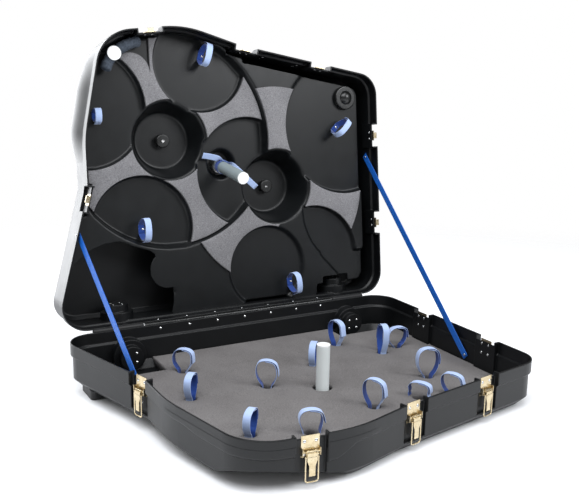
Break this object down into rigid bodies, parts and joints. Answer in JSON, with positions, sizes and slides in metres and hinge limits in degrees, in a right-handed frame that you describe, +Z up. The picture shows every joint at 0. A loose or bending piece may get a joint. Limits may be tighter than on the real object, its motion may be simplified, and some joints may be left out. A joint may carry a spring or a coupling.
{
  "type": "bike travel case",
  "caption": "Hinged hard shell travel case for a bicycle, open, with wheel beds in the lid, foam floor, tie straps, castors, lever latches and a carry handle.",
  "frame": {"origin": "middle of the open case's bounding box, on the floor it stands on", "axes": "+X along the hinge to the right as seen from the front, +Y back towards the lid, +Z up"},
  "size_m": [1.1309, 1.1264, 1.0626],
  "materials": {
    "shell": "black ABS, satin with fine grain",
    "liner": "black formed sheet",
    "foot": "black rubber",
    "floor_foam": "grey foam mat",
    "pad_foam": "grey foam",
    "pole": "white plastic tube",
    "white_cap": "white plastic",
    "black_fitting": "black moulded plastic",
    "zinc": "zinc plated steel",
    "latch_metal": "yellow passivated steel",
    "rivet": "bright rivet",
    "webbing": "blue woven nylon",
    "castor_tyre": "hard black wheel"
  },
  "bodies": {
    "base": {"base_shell": "shell", "base_feet": "foot", "floor_foam": "floor_foam", "base_pole_socket": "black_fitting", "base_pole": "pole", "base_pole_cap": "white_cap", "hinge_base_leaf": "zinc", "hinge_pin": "zinc", "hinge_base_rivets": "rivet", "latch_plates": "latch_metal", "latch_pins": "latch_metal", "latch_rivets": "rivet", "base_castor_plates": "zinc", "base_castor_rivets": "rivet", "base_tie_straps": "webbing", "base_stay_rivets": "rivet", "stay_strap_left": "webbing", "stay_strap_right": "webbing"},
    "lid": {"lid_shell": "shell", "lid_liner": "liner", "wheel_pads": "pad_foam", "hub_bosses": "black_fitting", "lid_pole": "pole", "lid_pole_collar": "zinc", "lid_pole_cap": "white_cap", "pole_strap": "webbing", "hinge_lid_leaf": "zinc", "hinge_lid_rivets": "rivet", "catch_plates": "latch_metal", "lid_wall_rivets": "rivet", "lid_castor_plates": "zinc", "lid_castor_rivets": "rivet", "lid_tie_straps": "webbing", "lid_strap_rivets": "rivet", "lid_stay_rivets": "rivet", "corner_bumper": "liner", "corner_roll": "pad_foam", "corner_plug": "white_cap", "handle_brackets": "black_fitting"},
    "lever_1": {"latch_lever_1": "latch_metal"},
    "bail_1": {"latch_bail_1": "latch_metal"},
    "lever_2": {"latch_lever_2": "latch_metal"},
    "bail_2": {"latch_bail_2": "latch_metal"},
    "lever_3": {"latch_lever_3": "latch_metal"},
    "bail_3": {"latch_bail_3": "latch_metal"},
    "lever_4": {"latch_lever_4": "latch_metal"},
    "bail_4": {"latch_bail_4": "latch_metal"},
    "lever_5": {"latch_lever_5": "latch_metal"},
    "bail_5": {"latch_bail_5": "latch_metal"},
    "lever_6": {"latch_lever_6": "latch_metal"},
    "bail_6": {"latch_bail_6": "latch_metal"},
    "castor_1": {"castor_fork_1": "zinc"},
    "castor_wheel_1": {"castor_wheel_1": "castor_tyre"},
    "castor_2": {"castor_fork_2": "zinc"},
    "castor_wheel_2": {"castor_wheel_2": "castor_tyre"},
    "castor_3": {"castor_fork_3": "zinc"},
    "castor_wheel_3": {"castor_wheel_3": "castor_tyre"},
    "castor_4": {"castor_fork_4": "zinc"},
    "castor_wheel_4": {"castor_wheel_4": "castor_tyre"},
    "handle": {"carry_handle": "black_fitting"}
  },
  "joints": [
    {"name": "lid_hinge", "type": "hinge", "parent": "base", "child": "lid", "pos_m": [0.01555, 0.3391, 0.16247], "axis": [-1, 0, 0], "range_deg": [-96.7, 0], "deforming": ["stay_strap_left", "stay_strap_right"]},
    {"name": "lever_1_pivot", "type": "hinge", "parent": "base", "child": "lever_1", "pos_m": [-0.4701, -0.05328, 0.10655], "axis": [-0.28, 0.9593, 0.0364], "range_deg": [0, 150]},
    {"name": "bail_1_pivot", "type": "hinge", "parent": "lever_1", "child": "bail_1", "pos_m": [-0.4749, -0.0543, 0.0965], "axis": [0.28, -0.9593, -0.0364], "range_deg": [-185, 0]},
    {"name": "lever_2_pivot", "type": "hinge", "parent": "base", "child": "lever_2", "pos_m": [-0.24837, -0.54902, 0.08774], "axis": [-0.9938, 0.1109, 0.0042], "range_deg": [0, 150]},
    {"name": "bail_2_pivot", "type": "hinge", "parent": "lever_2", "child": "bail_2", "pos_m": [-0.24893, -0.55361, 0.07756], "axis": [0.9938, -0.1109, -0.0042], "range_deg": [-185, 0]},
    {"name": "lever_3_pivot", "type": "hinge", "parent": "base", "child": "lever_3", "pos_m": [0.0691, -0.50231, 0.08951], "axis": [-0.9846, -0.1747, -0.0066], "range_deg": [0, 150]},
    {"name": "bail_3_pivot", "type": "hinge", "parent": "lever_3", "child": "bail_3", "pos_m": [0.06998, -0.50685, 0.07933], "axis": [0.9846, 0.1747, 0.0066], "range_deg": [-185, 0]},
    {"name": "lever_4_pivot", "type": "hinge", "parent": "base", "child": "lever_4", "pos_m": [0.34269, -0.45376, 0.09136], "axis": [-0.9846, -0.1747, -0.0066], "range_deg": [0, 150]},
    {"name": "bail_4_pivot", "type": "hinge", "parent": "lever_4", "child": "bail_4", "pos_m": [0.34357, -0.4583, 0.08118], "axis": [0.9846, 0.1747, 0.0066], "range_deg": [-185, 0]},
    {"name": "lever_5_pivot", "type": "hinge", "parent": "base", "child": "lever_5", "pos_m": [0.55755, -0.21874, 0.10027], "axis": [0, -0.9993, -0.0379], "range_deg": [0, 150]},
    {"name": "bail_5_pivot", "type": "hinge", "parent": "lever_5", "child": "bail_5", "pos_m": [0.56255, -0.21836, 0.09028], "axis": [0, 0.9993, 0.0379], "range_deg": [-185, 0]},
    {"name": "lever_6_pivot", "type": "hinge", "parent": "base", "child": "lever_6", "pos_m": [0.55755, 0.0873, 0.11188], "axis": [0, -0.9993, -0.0379], "range_deg": [0, 150]},
    {"name": "bail_6_pivot", "type": "hinge", "parent": "lever_6", "child": "bail_6", "pos_m": [0.56255, 0.08768, 0.10189], "axis": [0, 0.9993, 0.0379], "range_deg": [-185, 0]},
    {"name": "castor_1_swivel", "type": "hinge", "parent": "base", "child": "castor_1", "pos_m": [-0.38045, 0.29029, 0.08256], "axis": [0, 0.9993, 0.0379], "continuous": true},
    {"name": "castor_1_roll", "type": "hinge", "parent": "castor_1", "child": "castor_wheel_1", "pos_m": [-0.38045, 0.33329, 0.07018], "axis": [1, 0, 0], "continuous": true},
    {"name": "castor_2_swivel", "type": "hinge", "parent": "base", "child": "castor_2", "pos_m": [0.40455, 0.29029, 0.08256], "axis": [0, 0.9993, 0.0379], "continuous": true},
    {"name": "castor_2_roll", "type": "hinge", "parent": "castor_2", "child": "castor_wheel_2", "pos_m": [0.40455, 0.33329, 0.07018], "axis": [1, 0, 0], "continuous": true},
    {"name": "castor_3_swivel", "type": "hinge", "parent": "lid", "child": "castor_3", "pos_m": [-0.38045, 0.42792, 0.2074], "axis": [0, -0.0789, -0.9969], "continuous": true},
    {"name": "castor_3_roll", "type": "hinge", "parent": "castor_3", "child": "castor_wheel_3", "pos_m": [-0.36645, 0.42457, 0.16503], "axis": [0, 0.9969, -0.0789], "continuous": true},
    {"name": "castor_4_swivel", "type": "hinge", "parent": "lid", "child": "castor_4", "pos_m": [0.40455, 0.42792, 0.2074], "axis": [0, -0.0789, -0.9969], "continuous": true},
    {"name": "castor_4_roll", "type": "hinge", "parent": "castor_4", "child": "castor_wheel_4", "pos_m": [0.41855, 0.42457, 0.16503], "axis": [0, 0.9969, -0.0789], "continuous": true},
    {"name": "handle_pivot", "type": "hinge", "parent": "lid", "child": "handle", "pos_m": [0.21774, 0.47422, 0.9822], "axis": [0.9846, -0.0138, -0.1743], "range_deg": [0, 90]}
  ]
}
